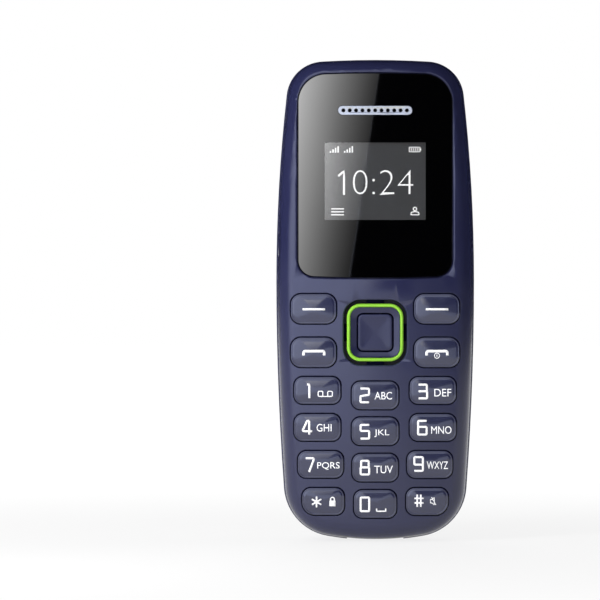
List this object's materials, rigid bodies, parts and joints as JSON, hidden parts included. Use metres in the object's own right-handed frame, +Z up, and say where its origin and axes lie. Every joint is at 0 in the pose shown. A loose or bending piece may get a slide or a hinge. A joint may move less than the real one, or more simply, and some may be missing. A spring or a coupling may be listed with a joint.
{
  "type": "feature phone",
  "caption": "Small bar-shaped feature phone with a mono display, number keypad, tilting navigation key and lift-off rear cover over a removable battery.",
  "frame": {"origin": "middle of the lowest point of the body, with the phone standing upright", "axes": "+X to the right and +Z up as seen from the front; +Y from the front face towards the rear cover"},
  "size_m": [0.028, 0.012, 0.068],
  "materials": {
    "body_plastic": "fine satin texture, moulded",
    "key_plastic": "semi-gloss coated caps",
    "nav_plastic": "satin",
    "lime_trim": "bright translucent-looking moulding",
    "lens_acrylic": "polished, back-printed black",
    "tape": "matt foam tape",
    "strip_metal": "brushed, punched",
    "acoustic_cloth": "woven",
    "display_glass": "polished glass sandwich",
    "ribbon_film": "amber film",
    "stainless": "stamped",
    "silicone": "dark matt",
    "board_laminate": "green solder mask",
    "chip_resin": "matt resin",
    "inner_plastic": "matt, glass-filled",
    "speaker_plastic": "matt",
    "foam": "open-cell foam",
    "tungsten": "sintered",
    "contact_gold": "gold-plated",
    "copper_film": "etched copper on film",
    "battery_wrap": "printed-film wrap",
    "screw_steel": "black zinc plated",
    "speaker_cloth": "woven grey mesh"
  },
  "bodies": {
    "phone_body": {"front_housing": "body_plastic", "screen_lens": "lens_acrylic", "lens_adhesive": "tape", "earpiece_strip": "strip_metal", "earpiece_dust_mesh": "acoustic_cloth", "earpiece_receiver": "stainless", "display_module": "display_glass", "display_ribbon": "ribbon_film", "dome_switches": "stainless", "keypad_mat": "silicone", "main_board": "board_laminate", "sim_socket_1": "stainless", "sim_socket_2": "stainless", "memory_card_socket": "stainless", "shield_can": "stainless", "processor": "chip_resin", "usb_socket": "stainless", "microphone": "stainless", "chassis": "inner_plastic", "loudspeaker": "speaker_plastic", "speaker_gasket": "foam", "vibration_motor": "stainless", "contact_block": "chip_resin", "antenna_flex": "copper_film", "chassis_screws": "screw_steel"},
    "softkey_left": {"softkey_left": "key_plastic"},
    "softkey_right": {"softkey_right": "key_plastic"},
    "call_key": {"call_key": "key_plastic"},
    "end_key": {"end_key": "key_plastic"},
    "key_1": {"key_1": "key_plastic"},
    "key_2": {"key_2": "key_plastic"},
    "key_3": {"key_3": "key_plastic"},
    "key_4": {"key_4": "key_plastic"},
    "key_5": {"key_5": "key_plastic"},
    "key_6": {"key_6": "key_plastic"},
    "key_7": {"key_7": "key_plastic"},
    "key_8": {"key_8": "key_plastic"},
    "key_9": {"key_9": "key_plastic"},
    "key_star": {"key_star": "key_plastic"},
    "key_0": {"key_0": "key_plastic"},
    "key_hash": {"key_hash": "key_plastic"},
    "select_key": {"select_key": "key_plastic"},
    "nav_rocker": {"nav_rocker": "stainless"},
    "nav_key": {"nav_key": "nav_plastic", "nav_trim_ring": "lime_trim"},
    "battery": {"battery_pack": "battery_wrap", "battery_pads": "contact_gold"},
    "back_cover": {"rear_cover": "body_plastic", "speaker_mesh": "speaker_cloth"},
    "vibration_weight": {"vibration_weight": "tungsten"},
    "contact_pins": {"contact_pins": "contact_gold"}
  },
  "joints": [
    {"name": "softkey_left_press", "type": "slide", "parent": "phone_body", "child": "softkey_left", "axis": [0, 1, 0], "range_m": [0, 0.00025], "stiffness_N_per_m": 4000},
    {"name": "softkey_right_press", "type": "slide", "parent": "phone_body", "child": "softkey_right", "axis": [0, 1, 0], "range_m": [0, 0.00025], "stiffness_N_per_m": 4000},
    {"name": "call_key_press", "type": "slide", "parent": "phone_body", "child": "call_key", "axis": [0, 1, 0], "range_m": [0, 0.00025], "stiffness_N_per_m": 4000},
    {"name": "end_key_press", "type": "slide", "parent": "phone_body", "child": "end_key", "axis": [0, 1, 0], "range_m": [0, 0.00025], "stiffness_N_per_m": 4000},
    {"name": "key_1_press", "type": "slide", "parent": "phone_body", "child": "key_1", "axis": [0, 1, 0], "range_m": [0, 0.00025], "stiffness_N_per_m": 4000},
    {"name": "key_2_press", "type": "slide", "parent": "phone_body", "child": "key_2", "axis": [0, 1, 0], "range_m": [0, 0.00025], "stiffness_N_per_m": 4000},
    {"name": "key_3_press", "type": "slide", "parent": "phone_body", "child": "key_3", "axis": [0, 1, 0], "range_m": [0, 0.00025], "stiffness_N_per_m": 4000},
    {"name": "key_4_press", "type": "slide", "parent": "phone_body", "child": "key_4", "axis": [0, 1, 0], "range_m": [0, 0.00025], "stiffness_N_per_m": 4000},
    {"name": "key_5_press", "type": "slide", "parent": "phone_body", "child": "key_5", "axis": [0, 1, 0], "range_m": [0, 0.00025], "stiffness_N_per_m": 4000, "deforming": ["keypad_mat"]},
    {"name": "key_6_press", "type": "slide", "parent": "phone_body", "child": "key_6", "axis": [0, 1, 0], "range_m": [0, 0.00025], "stiffness_N_per_m": 4000},
    {"name": "key_7_press", "type": "slide", "parent": "phone_body", "child": "key_7", "axis": [0, 1, 0], "range_m": [0, 0.00025], "stiffness_N_per_m": 4000},
    {"name": "key_8_press", "type": "slide", "parent": "phone_body", "child": "key_8", "axis": [0, 1, 0], "range_m": [0, 0.00025], "stiffness_N_per_m": 4000},
    {"name": "key_9_press", "type": "slide", "parent": "phone_body", "child": "key_9", "axis": [0, 1, 0], "range_m": [0, 0.00025], "stiffness_N_per_m": 4000},
    {"name": "key_star_press", "type": "slide", "parent": "phone_body", "child": "key_star", "axis": [0, 1, 0], "range_m": [0, 0.00025], "stiffness_N_per_m": 4000},
    {"name": "key_0_press", "type": "slide", "parent": "phone_body", "child": "key_0", "axis": [0, 1, 0], "range_m": [0, 0.00025], "stiffness_N_per_m": 4000},
    {"name": "key_hash_press", "type": "slide", "parent": "phone_body", "child": "key_hash", "axis": [0, 1, 0], "range_m": [0, 0.00025], "stiffness_N_per_m": 4000},
    {"name": "select_key_press", "type": "slide", "parent": "phone_body", "child": "select_key", "axis": [0, 1, 0], "range_m": [0, 0.00025], "stiffness_N_per_m": 4000},
    {"name": "nav_tilt_up_down", "type": "hinge", "parent": "phone_body", "child": "nav_rocker", "pos_m": [0, -0.00395, 0.02944], "axis": [1, 0, 0], "range_deg": [-3.5, 3.5], "stiffness_Nm_per_rad": 0.065},
    {"name": "nav_tilt_left_right", "type": "hinge", "parent": "nav_rocker", "child": "nav_key", "pos_m": [0, -0.00395, 0.02944], "axis": [0, 0, 1], "range_deg": [-3.5, 3.5], "stiffness_Nm_per_rad": 0.065},
    {"name": "battery_lift", "type": "slide", "parent": "phone_body", "child": "battery", "axis": [0, 1, 0], "range_m": [0, 0.01]},
    {"name": "back_cover_lift", "type": "slide", "parent": "battery", "child": "back_cover", "axis": [0, 1, 0], "range_m": [0, 0.014]},
    {"name": "vibration_spin", "type": "hinge", "parent": "phone_body", "child": "vibration_weight", "pos_m": [0.0087, -0.0001, 0.0479], "axis": [1, 0, 0], "continuous": true},
    {"name": "contact_pin_press", "type": "slide", "parent": "phone_body", "child": "contact_pins", "axis": [0, 0, 1], "range_m": [0, 0.00035], "stiffness_N_per_m": 1500}
  ]
}
